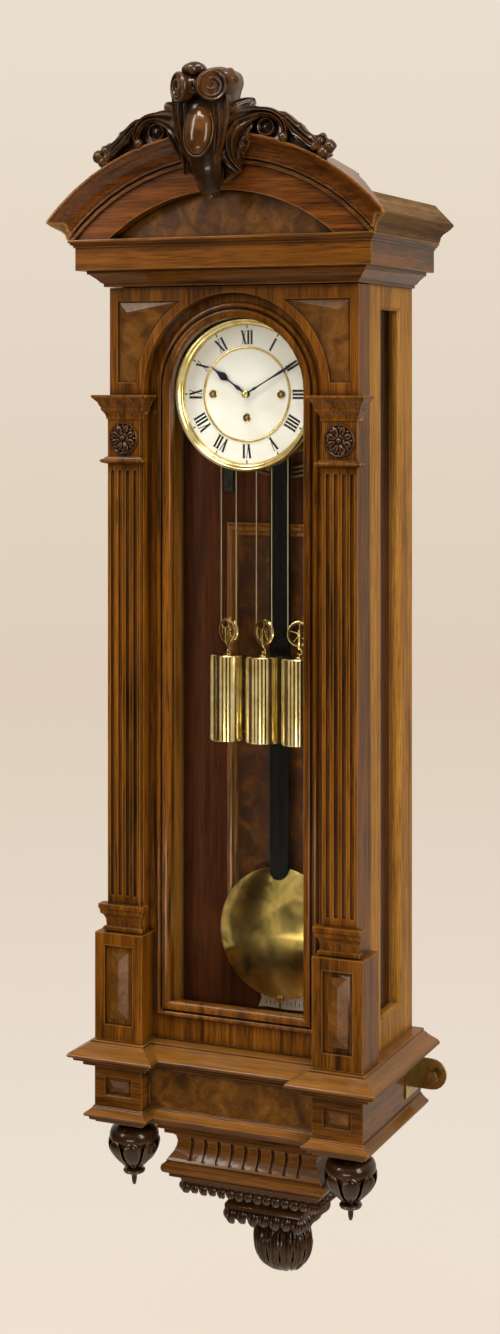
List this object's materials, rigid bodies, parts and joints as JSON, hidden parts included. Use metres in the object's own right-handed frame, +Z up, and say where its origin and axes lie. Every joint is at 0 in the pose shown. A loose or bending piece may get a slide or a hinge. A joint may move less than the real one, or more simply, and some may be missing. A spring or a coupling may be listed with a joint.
{
  "type": "vienna regulator wall clock",
  "caption": "Tall weight-driven wall clock in a walnut case: arched pediment, glazed door between fluted pilasters, round dial, long pendulum, brass weights on pulleys and a carved apron.",
  "frame": {"origin": "on the wall face, on the centre line, level with the middle of the dial", "axes": "+Z up along the case, -Y out of the wall towards the viewer, +X to the viewer's right"},
  "size_m": [0.4624, 0.3087, 1.5818],
  "materials": {
    "walnut": "polished walnut, shellac sheen",
    "dark_moulding": "polished red-brown walnut mouldings",
    "side_walnut": "faded walnut, satin",
    "burl": "burl walnut veneer, polished",
    "carved_walnut": "dark stained carved walnut, waxed",
    "roof_wood": "unpolished, dusty",
    "interior_walnut": "dark walnut, satin",
    "ebonised_wood": "ebonised, polished",
    "brass": "polished and lacquered",
    "silvered": "silvered and engraved",
    "white_dial": "white enamel, glossy",
    "blued_steel": "blued, polished",
    "gong_wire": "drawn wire",
    "clear_glass": "clear sheet glass",
    "line": "stranded brass line"
  },
  "bodies": {
    "case": {"backboard": "interior_walnut", "back_frame": "dark_moulding", "back_burl_panel": "burl", "side_frame_left": "side_walnut", "side_frame_right": "side_walnut", "side_glass_left": "clear_glass", "side_glass_right": "clear_glass", "cornice": "walnut", "pediment_arch": "walnut", "tympanum": "burl", "roof": "roof_wood", "crest_cartouche": "carved_walnut", "crest_scroll_left": "carved_walnut", "crest_scroll_right": "carved_walnut", "base": "walnut", "base_burl_panel": "burl", "apron": "walnut", "apron_carving": "carved_walnut", "bottom_pod": "carved_walnut", "drop_finial_left": "carved_walnut", "drop_finial_right": "carved_walnut", "stabilizer_left": "brass", "stabilizer_right": "brass", "hinge_upper": "brass", "hinge_lower": "brass", "movement_frame": "brass", "movement_bracket": "blued_steel", "dial": "white_dial", "bezel": "brass", "dial_ring": "brass", "beat_plate": "silvered", "gong": "gong_wire", "cable_left": "line", "cable_centre": "line", "cable_right": "line"},
    "door": {"door_frame": "dark_moulding", "spandrel_board": "walnut", "pilaster_left": "walnut", "pilaster_right": "walnut", "rosette_left": "carved_walnut", "rosette_right": "carved_walnut", "door_glass": "clear_glass"},
    "catch": {"door_catch": "brass"},
    "screw_left": {"stabilizer_screw_left": "brass"},
    "screw_right": {"stabilizer_screw_right": "brass"},
    "hour": {"hour_hand": "blued_steel"},
    "minute": {"minute_hand": "blued_steel"},
    "escape": {"escape_wheel": "brass"},
    "pendulum": {"pendulum_rod": "ebonised_wood", "pendulum_bob": "brass"},
    "anchor": {"pallets": "blued_steel"},
    "weight_a": {"weight_left": "brass"},
    "weight_b": {"weight_centre": "brass"},
    "weight_c": {"weight_right": "brass"},
    "sheave_a": {"pulley_left": "brass"},
    "sheave_b": {"pulley_centre": "brass"},
    "sheave_c": {"pulley_right": "brass"},
    "winding_a": {"drum_left": "brass"},
    "winding_b": {"drum_centre": "brass"},
    "winding_c": {"drum_right": "brass"}
  },
  "joints": [
    {"name": "door_swing", "type": "hinge", "parent": "case", "child": "door", "pos_m": [-0.1784, -0.1506, -0.3], "axis": [0, 0, -1], "range_deg": [0, 110]},
    {"name": "catch_press", "type": "slide", "parent": "door", "child": "catch", "axis": [0, -1, 0], "range_m": [0, 0.0022], "stiffness_N_per_m": 800},
    {"name": "level_left", "type": "slide", "parent": "case", "child": "screw_left", "axis": [0, -1, 0], "range_m": [0, 0.008]},
    {"name": "level_right", "type": "slide", "parent": "case", "child": "screw_right", "axis": [0, -1, 0], "range_m": [0, 0.008]},
    {"name": "minute_turn", "type": "hinge", "parent": "case", "child": "minute", "pos_m": [0, -0.145, 0], "axis": [0, 1, 0], "continuous": true},
    {"name": "hour_turn", "type": "hinge", "parent": "case", "child": "hour", "pos_m": [0, -0.142, 0], "axis": [0, 1, 0], "continuous": true},
    {"name": "escape_turn", "type": "hinge", "parent": "case", "child": "escape", "pos_m": [0, -0.095, 0.024], "axis": [0, 1, 0], "continuous": true},
    {"name": "pendulum_swing", "type": "hinge", "parent": "case", "child": "pendulum", "pos_m": [0, -0.036, 0.062], "axis": [0, 1, 0], "range_deg": [-2.5, 2.5]},
    {"name": "anchor_rock", "type": "hinge", "parent": "case", "child": "anchor", "pos_m": [0, -0.09, 0.062], "axis": [0, 1, 0], "range_deg": [-2.5, 2.5]},
    {"name": "weight_left_drop", "type": "slide", "parent": "case", "child": "weight_a", "axis": [0, 0, 1], "range_m": [-0.35, 0.17], "deforming": ["cable_left"]},
    {"name": "weight_centre_drop", "type": "slide", "parent": "case", "child": "weight_b", "axis": [0, 0, 1], "range_m": [-0.35, 0.17], "deforming": ["cable_centre"]},
    {"name": "weight_right_drop", "type": "slide", "parent": "case", "child": "weight_c", "axis": [0, 0, 1], "range_m": [-0.35, 0.17], "deforming": ["cable_right"]},
    {"name": "pulley_left_turn", "type": "hinge", "parent": "weight_a", "child": "sheave_a", "pos_m": [-0.051, -0.087, -0.3105], "axis": [0.4226, 0.9063, 0], "range_deg": [-1400, 1400]},
    {"name": "pulley_centre_turn", "type": "hinge", "parent": "weight_b", "child": "sheave_b", "pos_m": [0, -0.087, -0.3105], "axis": [0.4226, 0.9063, 0], "range_deg": [-1400, 1400]},
    {"name": "pulley_right_turn", "type": "hinge", "parent": "weight_c", "child": "sheave_c", "pos_m": [0.051, -0.087, -0.3105], "axis": [-0.4226, 0.9063, 0], "range_deg": [-1400, 1400]},
    {"name": "drum_left_turn", "type": "hinge", "parent": "case", "child": "winding_a", "pos_m": [-0.048, -0.087, 0], "axis": [0, 1, 0], "range_deg": [-2500, 2500]},
    {"name": "drum_centre_turn", "type": "hinge", "parent": "case", "child": "winding_b", "pos_m": [0, -0.087, -0.03], "axis": [0, 1, 0], "range_deg": [-3000, 3000]},
    {"name": "drum_right_turn", "type": "hinge", "parent": "case", "child": "winding_c", "pos_m": [0.048, -0.087, 0], "axis": [0, 1, 0], "range_deg": [-2500, 2500]}
  ],
  "couplings": [
    {"joint": "hour_turn", "follows": "minute_turn", "ratio": 0.083333},
    {"joint": "escape_turn", "follows": "minute_turn", "ratio": 60},
    {"joint": "anchor_rock", "follows": "pendulum_swing", "ratio": 1},
    {"joint": "pulley_left_turn", "follows": "weight_left_drop", "rad_per_m": 64.94},
    {"joint": "drum_left_turn", "follows": "weight_left_drop", "rad_per_m": 117.95},
    {"joint": "pulley_centre_turn", "follows": "weight_centre_drop", "rad_per_m": 64.94},
    {"joint": "drum_centre_turn", "follows": "weight_centre_drop", "rad_per_m": 143.3},
    {"joint": "pulley_right_turn", "follows": "weight_right_drop", "rad_per_m": -64.94},
    {"joint": "drum_right_turn", "follows": "weight_right_drop", "rad_per_m": -117.95}
  ]
}
